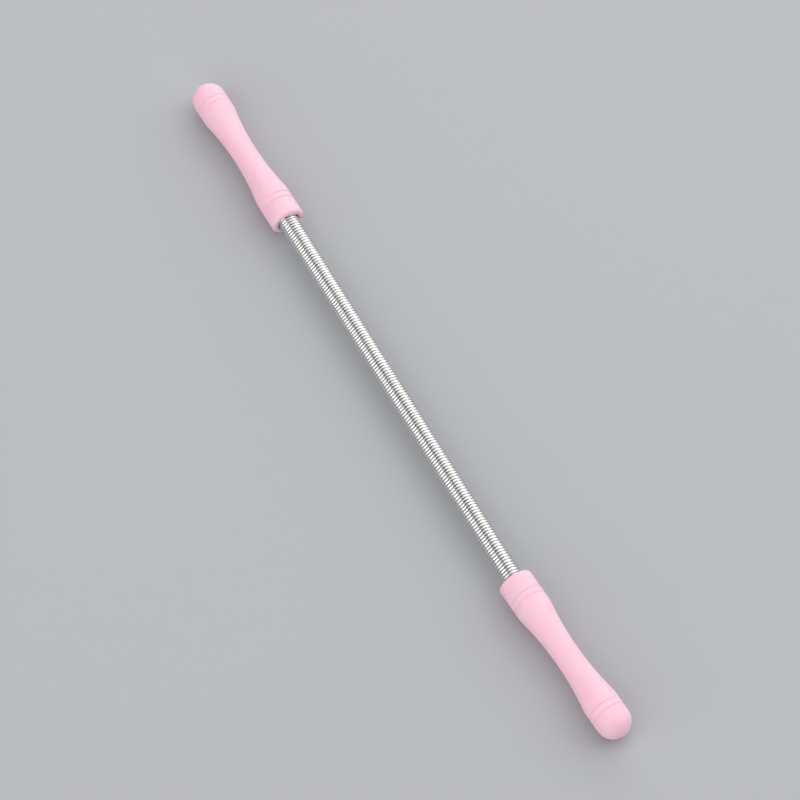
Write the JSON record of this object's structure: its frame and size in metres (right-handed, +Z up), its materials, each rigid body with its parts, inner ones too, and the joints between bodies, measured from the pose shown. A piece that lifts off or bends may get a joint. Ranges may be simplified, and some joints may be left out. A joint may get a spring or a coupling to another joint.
{
  "type": "facial hair removal spring",
  "caption": "Close-wound coil spring held between two waisted plastic handles, bent and rolled over the face to pluck fine hair.",
  "frame": {"origin": "under the middle of the coil, on the surface that the tool lies on", "axes": "+X along the coil towards the right handle, +Z up from the surface, +Y across"},
  "size_m": [0.2599, 0.0142, 0.0108],
  "materials": {
    "handle_plastic": "soft satin pink moulded plastic",
    "spring_wire": "bright drawn spring steel wire"
  },
  "bodies": {
    "root": {"left_handle": "handle_plastic", "right_handle": "handle_plastic", "coil_spring": "spring_wire"}
  },
  "joints": []
}
